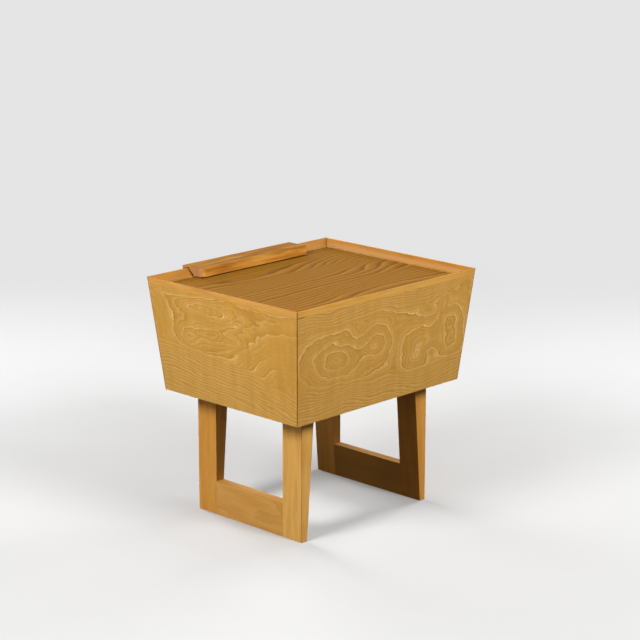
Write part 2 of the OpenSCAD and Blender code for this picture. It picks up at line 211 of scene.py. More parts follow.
# %% Helpers for boards
def start_clean():
    """Leaves edit mode and deselects everything."""
    if bpy.context.object and bpy.context.object.mode == "EDIT":
        bpy.ops.object.mode_set(mode="OBJECT")
    bpy.ops.object.select_all(action="DESELECT")


def block(name, low, high):
    """A block between two corners, whose object stays at the origin."""
    start_clean()
    low, high = Vector(low), Vector(high)
    bpy.ops.mesh.primitive_cube_add(size=1, location=(low + high) / 2, scale=high - low)
    bpy.ops.object.transform_apply(location=True, rotation=False, scale=True)
    piece = bpy.context.object
    piece.name = name
    return piece


def saw(piece, place, away):
    """Cuts off what lies on the far side of a plane and closes the cut."""
    start_clean()
    bpy.context.view_layer.objects.active = piece
    piece.select_set(True)
    bpy.ops.object.mode_set(mode="EDIT")
    bpy.ops.mesh.select_all(action="SELECT")
    bpy.ops.mesh.bisect(plane_co=place, plane_no=away, use_fill=True, clear_outer=True)
    bpy.ops.object.mode_set(mode="OBJECT")


def apply_modifier(piece, kind, **settings):
    """Adds a modifier, sets it and applies it."""
    start_clean()
    bpy.context.view_layer.objects.active = piece
    piece.select_set(True)
    bpy.ops.object.modifier_add(type=kind)
    modifier = piece.modifiers[-1]
    for key, value in settings.items():
        setattr(modifier, key, value)
    bpy.ops.object.modifier_apply(modifier=modifier.name)


def ease(piece, width, share=None, segments=2):
    """Bevels all edges; share(middle of the edge) may give an edge a smaller part of the width."""
    weights = piece.data.attributes.new("bevel_weight_edge", "FLOAT", "EDGE")
    for edge in piece.data.edges:
        ends = [piece.data.vertices[i].co for i in edge.vertices]
        weights.data[edge.index].value = share((ends[0] + ends[1]) / 2) if share else 1.0
    apply_modifier(piece, "BEVEL", limit_method="WEIGHT", width=width, segments=segments)


def bevel_corners(piece, width, from_angle, segments):
    """Bevels only the edges whose faces meet at more than an angle."""
    apply_modifier(
        piece, "BEVEL", limit_method="ANGLE", angle_limit=from_angle, width=width, segments=segments)


def fit(piece, body, node):
    """Lets a piece stand for a part of the frame and move with its body."""
    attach(piece, body)
    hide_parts(node)


print("helpers: block, saw, apply_modifier, ease, bevel_corners, fit")

# %% [markdown]
# The walls of the case are leaning boards whose ends are mitred at 45 degrees, so no end grain shows.
# Each wall is a veneered panel with a solid strip glued along its top, and the strip's inner side is
# planed to a bevel that runs down to the tray. One helper cuts them all: an outer and an inner plane
# that lean, two upright mitre planes, and the plane of the bevel. The back mitres stay a quarter of a
# millimetre open on each side, so that they show as a line.

# %% Case walls and rims
arris = 0.6 * MM
joint_share = 0.5
mitre_share = 0.3
mitre_gap = 0.25 * MM
front_gap = 0.2 * MM
near = 1 * MM
spare = 10 * MM


def wall_board(name, out, low, high, gap=mitre_gap):
    """A mitred stretch of the wall that faces the direction out, between two levels."""
    out = Vector(out)
    along = Vector((-out.y, out.x, 0))
    up = Vector((0, 0, 1))
    reach, half = (half_wide, half_deep) if out.x else (half_deep, half_wide)
    inner = reach - lean * (rim_level - case_level) - wall - spare
    first = case_mid + out * inner - along * half
    last = case_mid + out * reach + along * half
    corner_low = Vector((min(first.x, last.x), min(first.y, last.y), low))
    corner_high = Vector((max(first.x, last.x), max(first.y, last.y), high))
    piece = block(name, corner_low, corner_high)
    top = case_mid + out * reach + up * rim_level
    saw(piece, top, out - up * lean)
    saw(piece, top - out * wall, up * lean - out)
    for way in (along, -along):
        shortened = 0 if way.y < 0 else gap
        saw(piece, top + way * (half - shortened), way - out)
    saw(piece, top - out * rim_flat, up * bevel_run - out)

    def share(middle):
        """Less for the upright edges of a mitre, and for the glued joint of panel and strip."""
        from_corner = abs(abs((middle - case_mid).dot(along)) - half)
        in_mitre = from_corner < lean * (rim_level - middle.z) + wall + near
        upright = min(abs(middle.z - low), abs(middle.z - high)) > near
        if in_mitre and upright:
            return mitre_share
        return joint_share if abs(middle.z - strip_level) < near else 1.0

    ease(piece, arris, share)
    return piece


sides = {"right": (1, 0, 0), "left": (-1, 0, 0), "back": (0, 1, 0)}
pieces = {}
for side, out in sides.items():
    node = "back_panel" if side == "back" else "side_panel_" + side
    pieces[node] = wall_board(side + "_wall", out, case_level, strip_level)
    fit(pieces[node], "case", node)
    pieces["rim_" + side] = wall_board(side + "_strip", out, strip_level, rim_level)
    fit(pieces["rim_" + side], "case", "rim_" + side)
pieces["rim_front"] = wall_board("front_strip", (0, -1, 0), strip_level, rim_level, front_gap)
fit(pieces["rim_front"], "drawer", "rim_front")
print("walls and strips:", len(pieces))

# %% [markdown]
# The two leg frames are plain joinery: full-height posts with a rail between their feet and a cleat
# between their tops. Their outer faces are upright and their inner faces lean, so that the wood is
# over twice as thick at the top as at the floor. That lean is found from the post and the rail, whose
# inner faces are flush but whose tops are at different levels.

# %% Leg frames
leg_arris = 0.9 * MM
leg_boards = ("post_front", "post_back", "foot_rail", "frame_cleat")
post_low, post_high = corners("post_back_right")
foot_low, foot_high = corners("foot_rail_right")
inner_slope = (post_low.x - foot_low.x) / (post_high.z - foot_high.z)


def leg_board(name, node, side):
    """A post, rail or cleat of the frame on one side, with its leaning inner face."""
    low, high = corners(node)
    piece = block(name, low, high)
    top = Vector((side * post_low.x, 0, post_high.z))
    saw(piece, top, Vector((-side, 0, inner_slope)))

    def share(middle):
        """Less for the edges where a rail or cleat meets a post."""
        from_joint = min(abs(middle.y - foot_low.y), abs(middle.y - foot_high.y))
        return joint_share if from_joint < near else 1.0

    ease(piece, leg_arris, share)
    return piece


for side_name, side in (("right", 1), ("left", -1)):
    for kind in leg_boards:
        node = kind + "_" + side_name
        pieces[node] = leg_board("leg_" + node, node, side)
        fit(pieces[node], "case", node)
print("leg frame boards:", 2 * len(leg_boards), "inner slope", round(inner_slope, 4))

# %% [markdown]
# The pull is a moulding that lies over the front strip: a bar with a rounded nose outside, a lip that
# the fingers hook behind, and a block inside that is notched to the bevel. A moulding is made by
# running one profile along its length, so the profile is drawn first, as a ring of points. The small
# groove where the block meets the strip clears the strip's corner.

# %% Profile of the pull
pull_low, pull_high = corners("pull")
front_edge = case_mid.y - half_deep
strip_inner = front_edge + rim_flat
nose_radius = 7.5 * MM
lip_drop = 8 * MM
inner_radius = 4.5 * MM
cove_radius = 2.5 * MM
relief_radius = 3 * MM
seam = 2.5 * MM


def arc(middle_y, middle_z, radius, first, last, steps=8):
    """Points along an arc, with its angles in degrees from +Y towards +Z."""
    turns = [math.radians(first + (last - first) * i / steps) for i in range(steps + 1)]
    return [(middle_y + radius * math.cos(t), middle_z + radius * math.sin(t)) for t in turns]


def pull_profile():
    """The pull's section in Y and Z, one ring of points."""
    top, low = pull_high.z, pull_low.z
    front, back = pull_low.y, pull_high.y
    tip = nose_radius / 2
    seam_flat = seam / math.sin(math.atan2(1, bevel_run))
    ring = arc(front + nose_radius, top - nose_radius, nose_radius, 180, 90)
    ring += arc(back - inner_radius, top - inner_radius, inner_radius, 90, 0, steps=5)
    ring += [(back, low)]
    ring += [(strip_inner + seam_flat + bevel_run * (rim_level - low) + seam, low)]
    ring += [(strip_inner + seam_flat, rim_level)]
    ring += arc(strip_inner, rim_level, relief_radius, 0, 180)
    ring += arc(front + nose_radius + cove_radius, rim_level - cove_radius, cove_radius, 90, 180, steps=4)
    ring += arc(front + tip, rim_level - lip_drop + tip, tip, 0, -180)
    return ring


profile = pull_profile()
print("pull profile:", len(profile), "points")

# %% [markdown]
# The profile is extruded to the pull's length. A block with rounded upright edges then trims its ends,
# as a router would: the inner corners are round, much more so at the right end than at the left, and
# the outer ones are only softened. All edges are eased last, and the curved faces are shaded smooth.

# %% The pull
pull_arris = 1.2 * MM
corner_radius = 12 * MM
outer_share = 0.35
left_share = 0.42
pull_edge_angle = math.radians(40)
pull_smooth_angle = math.radians(32)


def moulding(name, ring, first_x, last_x):
    """Runs a profile along X: a disc with one corner for each point, reshaped and extruded."""
    start_clean()
    bpy.ops.mesh.primitive_circle_add(vertices=len(ring), fill_type="NGON")
    piece = bpy.context.object
    piece.name = name
    for vertex, (y, z) in zip(piece.data.vertices, ring):
        vertex.co = (first_x, y, z)
    bpy.ops.object.mode_set(mode="EDIT")
    bpy.ops.mesh.select_all(action="SELECT")
    bpy.ops.mesh.extrude_region_move(TRANSFORM_OT_translate={"value": (last_x - first_x, 0, 0)})
    bpy.ops.mesh.select_all(action="SELECT")
    bpy.ops.mesh.normals_make_consistent(inside=False)
    bpy.ops.object.mode_set(mode="OBJECT")
    return piece


def combine(piece, other, how):
    """Cuts or trims a piece with another one, which is then gone."""
    apply_modifier(piece, "BOOLEAN", object=other, operation=how, solver="EXACT")
    bpy.data.objects.remove(other)


pull = moulding("rim_pull", profile, pull_low.x, pull_high.x)
plan = block(
    "pull_plan",
    (pull_low.x, pull_low.y, pull_low.z - spare),
    (pull_high.x, pull_high.y, pull_high.z + spare),
)


def plan_share(middle):
    """How round each upright edge of the plan block gets; its level edges stay sharp."""
    if abs(middle.z - (pull_low.z + pull_high.z) / 2) > near:
        return 0.0
    if middle.y < (pull_low.y + pull_high.y) / 2:
        return outer_share
    return 1.0 if middle.x > 0 else left_share


ease(plan, corner_radius, plan_share, segments=6)
combine(pull, plan, "INTERSECT")
bevel_corners(pull, pull_arris, pull_edge_angle, 3)
bpy.ops.object.select_all(action="DESELECT")
pull.select_set(True)
bpy.context.view_layer.objects.active = pull
bpy.ops.object.shade_smooth_by_angle(angle=pull_smooth_angle)
apply_modifier(pull, "WEIGHTED_NORMAL", keep_sharp=True)
pieces["pull"] = pull
fit(pull, "drawer", "pull")
print("pull:", len(pull.data.vertices), "points")

# %% [markdown]
# The boards inside the case have grooves, housings and screw holes that the frame already holds
# exactly. For those, the frame's own mesh is copied and merged, its flat faces are joined into one
# face each, and its edges are eased. Cutting the grooves again would only risk an open joint.

# %% Boards copied from the frame
inner_arris = 0.4 * MM
merge_reach = 0.001 * MM
flat_angle = math.radians(0.5)
board_edge_angle = math.radians(30)
copied_boards = [
    ("case", "tray_veneer", ["tray_panel"]),
    ("case", "carcass_wood", [
        "bottom_panel", "glue_blocks", "front_rail", "back_cleat", "kicker_left", "kicker_right",
        "runner_left", "runner_right", "stop_blocks", "catch_block",
    ]),
    ("drawer", "panel_veneer", ["drawer_front"]),
    ("drawer", "drawer_wood", ["drawer_side_left", "drawer_side_right", "drawer_back", "drawer_floor"]),
]


def board_copy(node, width):
    """A merged copy of a part of the frame with eased edges."""
    start_clean()
    piece = bpy.data.objects.new(node + "_board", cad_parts[node].data.copy())
    bpy.context.collection.objects.link(piece)
    bpy.context.view_layer.objects.active = piece
    piece.select_set(True)
    bpy.ops.object.mode_set(mode="EDIT")
    bpy.ops.mesh.select_all(action="SELECT")
    bpy.ops.mesh.remove_doubles(threshold=merge_reach)
    bpy.ops.mesh.dissolve_limited(angle_limit=flat_angle)
    bpy.ops.object.mode_set(mode="OBJECT")
    bevel_corners(piece, width, board_edge_angle, 2)
    return piece


for body, slot, boards in copied_boards:
    for node in boards:
        pieces[node] = board_copy(node, inner_arris)
        fit(pieces[node], body, node)
print("copied boards:", sum(len(boards) for body, slot, boards in copied_boards))

# %% [markdown]
# Every finish is a tree of nodes, and most of them begin in the same way: the place on the object in
# millimetres, noise that is stretched along the grain, and a colour ramp. A small class keeps those
# steps short, so that a recipe for wood reads like a list of what happens in the board.

# %% A workbench for finishes
def srgb(red, green, blue):
    """A colour as it is seen, from 0 to 255, in the linear values that Blender works with."""
    def linear(value):
        value = value / 255
        return value / 12.92 if value <= 0.04045 else ((value + 0.055) / 1.055) ** 2.4
    return (linear(red), linear(green), linear(blue), 1)


class Finish:
    """A material under construction."""

    def __init__(self, name):
        self.material = bpy.data.materials.new(name)
        self.material.use_nodes = True
        self.tree = self.material.node_tree
        self.shader = self.tree.nodes["Principled BSDF"]
        here = self.add("ShaderNodeTexCoord")
        self.normal = here.outputs["Normal"]
        self.place = self.vector("MULTIPLY", here.outputs["Object"], (1000, 1000, 1000))

    def fill(self, socket, value):
        """Wires an input to another node, or sets it to a value."""
        if isinstance(value, bpy.types.NodeSocket):
            self.tree.links.new(value, socket)
        elif value is not None:
            socket.default_value = value

    def add(self, kind, *values, **settings):
        """Adds a node, sets it, and fills its inputs in order."""
        made = self.tree.nodes.new(kind)
        for key, value in settings.items():
            setattr(made, key, value)
        for socket, value in zip(made.inputs, values):
            self.fill(socket, value)
        return made

    def maths(self, operation, *values):
        """One step of arithmetic."""
        return self.add("ShaderNodeMath", *values, operation=operation).outputs[0]

    def vector(self, operation, *values):
        """One step of arithmetic with places or directions."""
        made = self.add("ShaderNodeVectorMath", *values, operation=operation)
        return made.outputs["Value" if operation in ("DOT_PRODUCT", "LENGTH") else "Vector"]

    def facing(self, way):
        """1 where the surface faces a way, 0 where it stands square to it."""
        return self.vector("DOT_PRODUCT", self.normal, way)

    def noise(self, place, size, detail=2.0, shift=0.0):
        """Noise from 0 to 1 whose lumps have the given sizes in millimetres."""
        scale = [1 / lump for lump in size]
        seen = self.add("ShaderNodeMapping", place, (shift, shift * 1.7, shift * 2.3), None, scale)
        made = self.add("ShaderNodeTexNoise", seen.outputs[0])
        made.inputs["Scale"].default_value = 1
        made.inputs["Detail"].default_value = detail
        return made.outputs[0]

    def wander(self, place, size, reach, detail=2.0, shift=0.0):
        """Noise around zero that reaches about as many millimetres to each side."""
        return self.maths("MULTIPLY_ADD", self.noise(place, size, detail, shift), 4 * reach, -2 * reach)

    def ramp(self, value, stops):
        """Colours or greys along a value from 0 to 1."""
        made = self.add("ShaderNodeValToRGB", value)
        points = made.color_ramp.elements
        points[0].position, points[1].position = stops[0][0], stops[-1][0]
        for place, _ in stops[1:-1]:
            points.new(place)
        for point, (place, colour) in zip(points, stops):
            point.color = colour if isinstance(colour, tuple) else (colour, colour, colour, 1)
        return made.outputs[0]

    def blend(self, how, share, first, second):
        """Mixes two colours; a Mix node keeps its share and its colours in sockets 0, 6 and 7."""
        made = self.add("ShaderNodeMix", data_type="RGBA", blend_type=how)
        for number, value in zip((0, 6, 7), (share, first, second)):
            self.fill(made.inputs[number], value)
        return made.outputs[2]

    def finish(self, colour, roughness, height, depth, gloss=0.07):
        """Fills the shader; depth is the bump's depth in millimetres, gloss its shine head on."""
        bump = self.add("ShaderNodeBump")
        bump.inputs["Strength"].default_value = 1
        bump.inputs["Distance"].default_value = depth * MM
        self.fill(bump.inputs["Height"], height)
        self.fill(self.shader.inputs["Normal"], bump.outputs[0])
        self.fill(self.shader.inputs["Base Color"], colour)
        self.fill(self.shader.inputs["Roughness"], roughness)
        self.fill(self.shader.inputs["Specular IOR Level"], gloss)
        return self.material


def dress(node, material):
    """Gives a piece, or a part of the frame that stays, one material."""
    thing = pieces.get(node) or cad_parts[node]
    thing.data.materials.clear()
    thing.data.materials.append(material)


print("workbench ready")

# %% [markdown]
# Some marks are laid where they belong: painted shade in the seam under the pull and in the pull's
# notch, a painted shadow beside the pull, and a brown line along a mitre. Such marks can't be left to
# noise, so each is laid as a tone over a box of places, or over what lies close to the two planes of
# the mitres, but not on the cut faces themselves.
# A face that looks along X or Y gives 1 in that test, and a cut face, turned by 45 degrees, 1.41.

# %% Stains, joint lines and painted shade
# Painted shade: this tone darkens the seam under the pull and the pull's notch, where the gap lies in
# shade.
seam_shade_tone = srgb(30, 14, 4)
# Painted shadow: this tone darkens the tray along the foot of the pull and past its end.
pull_shadow_tone = srgb(70, 40, 12)
edge_tone = srgb(166, 106, 44)
mitre_tone = srgb(126, 70, 8)
glue_tone = srgb(98, 56, 12)
mitre_line_full = 1.0
mitre_line_gone = 2.6
mitre_line_share = 0.85
cut_face = 1.2


def lay_stains_and_shade(f, colour, stains):
    """Lays a tone, a stain or painted shade, over each box of places, given by its corners in metres, with
    a soft edge.
    """
    for low, high, soft, tone in stains:
        middle = (Vector(low) + Vector(high)) / 2 / MM
        half = (Vector(high) - Vector(low)) / 2 / MM
        off = f.vector("ABSOLUTE", f.vector("SUBTRACT", f.place, middle))
        past = f.add("ShaderNodeSeparateXYZ", f.vector("SUBTRACT", off, half)).outputs
        far = f.maths("MAXIMUM", past[0], f.maths("MAXIMUM", past[1], past[2]))
        share = f.add("ShaderNodeMapRange", far, -soft, 0, 1, 0).outputs[0]
        colour = f.blend("MIX", share, colour, tone)
    return colour


def mitre_line(f, colour):
    """Darkens the last millimetres before the mitres, which all lie in two planes at 45 degrees."""
    spot = f.vector("ABSOLUTE", f.vector("SUBTRACT", f.place, case_mid / MM))
    off = f.vector("DOT_PRODUCT", spot, (1, -1, 0))
    off = f.maths("ABSOLUTE", f.maths("SUBTRACT", off, (half_wide - half_deep) / MM))
    share = f.add("ShaderNodeMapRange", off, mitre_line_full, mitre_line_gone, mitre_line_share, 0)
    turned = f.vector("DOT_PRODUCT", f.vector("ABSOLUTE", f.normal), (1, 1, 0))
    share = f.maths("MULTIPLY", share.outputs[0], f.maths("LESS_THAN", turned, cut_face))
    return f.blend("MIX", share, colour, mitre_tone)


print("stains and joint lines ready")

# %% [markdown]
# Some faces of a board get a tone by the way they face. Each list here is a ramp that the wood's colour is
# multiplied by, from 0 for a face that stands square to a way to 1 for one that faces it. The bevels,
# the core of the panels and the top of the pull look up and are painted darker, as painted shade of
# the light from above; on the left strip's flat top less so, a painted highlight along its edge. The
# inner faces of the frames get painted shade.

# %% Tones and painted shade of single faces
white = (1.0, 1.0, 1.0, 1)
# The first four ramps are painted shade on faces that look up; on the left strip's flat top the lighter
# end is a painted highlight.
left_bevel_shade_and_highlight = [
    (0.3, white), (0.55, (0.55, 0.46, 0.27, 1)),
    (0.9, (0.58, 0.49, 0.32, 1)), (1.0, (0.84, 0.8, 0.7, 1)),
]
bevel_shade = [(0.3, white), (0.55, (0.55, 0.46, 0.29, 1)), (1.0, (0.58, 0.5, 0.38, 1))]
core_shade = [(0.3, white), (0.55, (0.6, 0.52, 0.5, 1)), (1.0, (0.6, 0.52, 0.5, 1))]
pull_top_shade = [(0.3, white), (0.9, (0.6, 0.6, 0.52, 1))]
# Painted shade on the inner faces of the frames.
inward_shade = [(0.5, white), (0.9, (0.6, 0.54, 0.4, 1))]
band_tone = srgb(176, 127, 72)
band_fade = 5
band_share = 0.85
end_tone = srgb(178, 126, 80)
print("tones of single faces ready")

# %% [markdown]
# Solid wood is a stack of growth rings round the tree's heart. A board shows whatever rings its saw
# cut crosses: straight lines where the heart is far off to the side, flames where it lies below the
# face, arcs on the end grain. So the rings are made in three dimensions, as the distance from the
# heart, and all faces of a board then agree with each other. Fine streaks and short pores run along
# the grain, as noise whose lumps are long and narrow, and end grain drinks more lacquer, so it turns
# darker and redder. The gloss is low, as on rubbed lacquer.

# %% Solid wood
turn_to_grain = {"X": (0, 0, 0), "Y": (0, 0, math.radians(-90)), "Z": (0, math.radians(90), 0)}
grain_way = {"X": (1, 0, 0), "Y": (0, 1, 0), "Z": (0, 0, 1)}
board_sweep = (240, 60, 60)
board_wave = (50, 9, 9)
board_patch = (110, 14, 14)
board_streak = (70, 0.9, 0.9)
board_pore = (7, 0.4, 0.4)
wave_reach = 0.7
ring_calm = 0.3
streak_share = 0.7
pore_share = 0.3
board_bump = 0.03


def solid_wood(
    name, along, tones, heart, ring=3.4, seed=0.0, sweep=8.0, end=None, rough=0.46, mottle=0.4,
    upward=None, inward=0, band=0, mitred=False, stains=(), gloss=0.07,
):
    """Wood with its grain along one axis; tones are light, middle and dark, heart is in millimetres."""
    f = Finish(name)
    light, middle, dark = tones
    moved = (seed * 313, -heart[0], -heart[1])
    place = f.add("ShaderNodeMapping", f.place, moved, turn_to_grain[along]).outputs[0]
    radius = f.vector("LENGTH", f.vector("MULTIPLY", place, (0, 1, 1)))
    radius = f.maths("ADD", radius, f.wander(place, board_sweep, sweep, 1, seed))
    radius = f.maths("ADD", radius, f.wander(place, board_wave, wave_reach, 2, seed + 1))
    rings = f.maths("FRACT", f.maths("DIVIDE", radius, ring))
    colour = f.ramp(rings, [(0.0, light), (0.5, middle), (0.86, dark), (0.94, dark), (1.0, light)])
    colour = f.blend("MIX", ring_calm, colour, middle)
    patch = f.noise(place, board_patch, 2, seed + 2)
    patch_colour = f.ramp(patch, [(0.32, light), (0.5, middle), (0.72, dark)])
    colour = f.blend("MIX", mottle, colour, patch_colour)
    streak = f.noise(place, board_streak, 3, seed + 3)
    colour = f.blend("MULTIPLY", streak_share, colour, f.ramp(streak, [(0.3, 0.8), (0.6, 1.0)]))
    pores = f.ramp(f.noise(place, board_pore, 2, seed + 4), [(0.62, 0.0), (0.7, 1.0)])
    colour = f.blend("MIX", f.maths("MULTIPLY", pores, pore_share), colour, dark)
    if end:
        end_grain = f.ramp(f.maths("ABSOLUTE", f.facing(grain_way[along])), [(0.3, 0.0), (0.7, 0.9)])
        colour = f.blend("MIX", end_grain, colour, end)
    # Faces that look up get painted shade, or on the left strip's flat top a painted highlight.
    if upward:
        colour = f.blend("MULTIPLY", 1.0, colour, f.ramp(f.facing((0, 0, 1)), upward))
    # Painted shade on the inner faces of the frames.
    if inward:
        colour = f.blend("MULTIPLY", 1.0, colour, f.ramp(f.facing((inward, 0, 0)), inward_shade))
    if band:
        level = f.vector("DOT_PRODUCT", f.place, (0, 0, 1))
        below = f.add("ShaderNodeMapRange", level, band, band - band_fade, 0, band_share).outputs[0]
        share = f.maths("MULTIPLY", below, f.maths("GREATER_THAN", f.facing((0, 0, 1)), 0.5))
        colour = f.blend("MIX", share, colour, band_tone)
    if mitred:
        colour = mitre_line(f, colour)
    colour = lay_stains_and_shade(f, colour, stains)
    roughness = f.maths("MULTIPLY_ADD", streak, 0.16, rough - 0.08)
    height = f.maths("MULTIPLY_ADD", pores, -1, streak)
    return f.finish(colour, roughness, height, board_bump, gloss)


print("solid wood ready")

# %% [markdown]
# The walls wear veneer that was peeled or sliced across wavy rings, which gives loops, eyes and
# islands like the lines of a map. It is made like a map: a few listed mounds and hollows add up to a
# height; wherever the height passes a whole number, a ring comes to the surface. Rows of nearly
# straight lines along the upper and lower edges are slopes in the same map.

# %% The map below a veneer
row_reach = 4000


def mound(f, spot, height, middle_right, middle_down, wide, high, turn, rise):
    """Adds a soft round hill to a height, or a hollow where rise is negative."""
    middle = (middle_right, middle_down, 0)
    turned = (0, 0, math.radians(turn))
    seen = f.add("ShaderNodeMapping", spot, middle, turned, (wide, high, 1), vector_type="TEXTURE")
    square = f.vector("DOT_PRODUCT", seen.outputs[0], seen.outputs[0])
    bell = f.maths("EXPONENT", f.maths("MULTIPLY", square, -1))
    return f.maths("MULTIPLY_ADD", bell, rise, height)


def rows(f, spot, down, edge, spacing, bumps, sign):
    """A slope beyond an edge line, one ring for each spacing; bumps push the line aside."""
    line = f.maths("ADD", edge, 0)
    for place, width, rise in bumps:
        line = mound(f, spot, line, place, edge, width, row_reach, 0, rise)
    beyond = f.maths("MULTIPLY", f.maths("SUBTRACT", down, line), sign / spacing)
    return f.maths("SMOOTH_MAX", beyond, 0, 2)


print("mounds and rows ready")

# %% [markdown]
# The colour of a veneer follows the map. A ring's early wood is a pale line, and the wood beside it, on
# the low side, is brown and fades to gold. In the rows the rings are softer. Small rings run between
# the bold ones, clouds calm the figure here and there, and a few listed areas are held still. A slow
# waver moves all lines a little, and streaks and pores follow the grain as in solid wood.

# %% Figured veneer
veneer_sways = (((110, 60, 30), 5, 9), ((60, 25, 30), 2.5, 8))
row_sway = ((320, 15, 30), 2.2)
row_tremble = ((14, 5, 30), 0.5)
veneer_wavers = (((50, 40, 30), 3.0), ((22, 12, 30), 2.4), ((6, 4, 30), 1.2))
height_waver = ((30, 16, 30), 0.09)
veneer_cloud = (90, 30, 30)
veneer_sheen_bands = (16, 90, 30)
veneer_streak = (60, 0.9, 30)
veneer_pore = (6, 0.45, 30)
small_rings = 4
stillest = 0.9
veneer_streak_share = 0.6
veneer_pore_share = 0.22
veneer_bump = 0.02


def figured_veneer(
    name, sheet, mounds, top_rows, bottom_rows, tones, seed=0.0, base=0.5, fine=0.3, across=0.0,
    calm=0.4, fade=0.5, waver=1.0, still=(), upward=None, mitred=False, stains=(), gloss=0.07,
):
    """Veneer on a sheet's corner and ways; places are in millimetres, right and down from there."""
    f = Finish(name)
    pale, light, middle, dark = tones
    start, right_way, down_way = sheet
    right = f.vector("DOT_PRODUCT", f.place, right_way)
    right = f.maths("SUBTRACT", right, start.dot(right_way) / MM)
    down = f.vector("DOT_PRODUCT", f.place, down_way)
    down = f.maths("SUBTRACT", down, start.dot(down_way) / MM)
    flat = f.add("ShaderNodeCombineXYZ", right, down, seed * 100).outputs[0]
    for size, reach, shift in veneer_sways:
        down = f.maths("ADD", down, f.wander(flat, size, reach * waver, 1, seed + shift))
    even = f.maths("ADD", down, f.wander(flat, *row_tremble, 2, seed + 7))
    even = f.maths("ADD", even, f.wander(flat, row_sway[0], row_sway[1] * waver, 1, seed + 10))
    for number, (size, reach) in enumerate(veneer_wavers):
        right = f.maths("ADD", right, f.wander(flat, size, reach * waver, 2, seed + number))
        down = f.maths("ADD", down, f.wander(flat, size, reach * waver, 2, seed + number + 0.5))
    spot = f.add("ShaderNodeCombineXYZ", right, down, 0).outputs[0]

    top_slope = rows(f, spot, even, *top_rows, -1)
    slopes = f.maths("ADD", top_slope, rows(f, spot, even, *bottom_rows, 1))
    height = f.maths("ADD", slopes, base)
    wavered = f.wander(flat, height_waver[0], height_waver[1] * waver, 3, seed + 6)
    height = f.maths("ADD", height, wavered)
    for each in mounds:
        height = mound(f, spot, height, *each)

    ring = f.maths("FRACT", height)
    soft_dark = tuple(0.5 * (m + d) for m, d in zip(middle, dark))
    bold = f.ramp(ring, [
        (0.0, pale), (0.02, pale), (0.05, light), (0.09, light), (0.105, pale), (0.13, light),
        (0.5, middle), (0.8, middle), (0.97, soft_dark), (1.0, pale),
    ])
    row = f.ramp(ring, [(0.0, pale), (0.2, light), (0.5, middle), (0.82, dark), (1.0, pale)])
    cloud = f.noise(flat, veneer_cloud, 2, seed + 2)
    faded = f.blend("MIX", f.ramp(cloud, [(0.4, 0.2 * fade), (0.6, fade)]), row, middle)
    colour = f.blend("MIX", f.maths("MINIMUM", slopes, 1), bold, faded)
    small_ring = f.maths("FRACT", f.maths("MULTIPLY", height, small_rings))
    small = f.ramp(small_ring, [(0.0, pale), (0.3, light), (0.7, middle), (0.9, dark), (1.0, pale)])
    colour = f.blend("MIX", fine, colour, small)

    quiet = f.ramp(cloud, [(0.35, calm), (0.65, 0.0)])
    for each in still:
        quiet = mound(f, spot, quiet, *each)
    colour = f.blend("MIX", f.maths("MINIMUM", quiet, stillest), colour, middle)
    # Soft upright bands, darker between them, are painted sheen.
    glow = f.noise(flat, veneer_sheen_bands, 1, seed + 5)
    colour = f.blend("MULTIPLY", across, colour, f.ramp(glow, [(0.3, 0.75), (0.65, 1.0)]))
    streak = f.noise(flat, veneer_streak, 3, seed + 3)
    streak_tone = f.ramp(streak, [(0.3, 0.84), (0.6, 1.0)])
    colour = f.blend("MULTIPLY", veneer_streak_share, colour, streak_tone)
    pores = f.ramp(f.noise(flat, veneer_pore, 2, seed + 4), [(0.62, 0.0), (0.7, 1.0)])
    colour = f.blend("MIX", f.maths("MULTIPLY", pores, veneer_pore_share), colour, dark)

    # Faces that look up get painted shade.
    if upward:
        colour = f.blend("MULTIPLY", 1.0, colour, f.ramp(f.facing((0, 0, 1)), upward))
    if mitred:
        colour = mitre_line(f, colour)
    colour = lay_stains_and_shade(f, colour, stains)
    roughness = f.maths("MULTIPLY_ADD", streak, 0.14, 0.43)
    height = f.maths("MULTIPLY_ADD", pores, -1, streak)
    return f.finish(colour, roughness, height, veneer_bump, gloss)


print("figured veneer ready")

# %% [markdown]
# The back and the right wall are the two that show in the picture, so their islands, loops and rows
# stand where they do on the real walls. Each mound is given by its middle, its width and height, its
# turn in degrees and its rise in rings. The back also has a short dark line of glue under its strip,
# near the right corner.

# %% Veneer in view
veneer_tones = (srgb(244, 207, 136), srgb(215, 166, 84), srgb(205, 152, 68), srgb(162, 104, 34))
glue_line_length = 22 * MM
glue_line_half = 0.9 * MM
glue_line = (
    (half_wide - glue_line_length, 0, strip_level - glue_line_half),
    (half_wide, 1, strip_level + glue_line_half), 0.5, glue_tone,
)


def wall_veneer(name, out, mounds, top_rows, bottom_rows, **recipe):
    """Veneer for the wall that faces out, laid from its upper left corner seen from outside."""
    out = Vector(out)
    right_way = Vector((-out.y, out.x, 0))
    reach, half = (half_wide, half_deep) if out.x else (half_deep, half_wide)
    start = case_mid + out * reach - right_way * half + Vector((0, 0, rim_level))
    sheet = (start, right_way, Vector((0, 0, -1)))
    return figured_veneer(
        name, sheet, mounds, top_rows, bottom_rows, veneer_tones,
        upward=core_shade, mitred=True, **recipe)


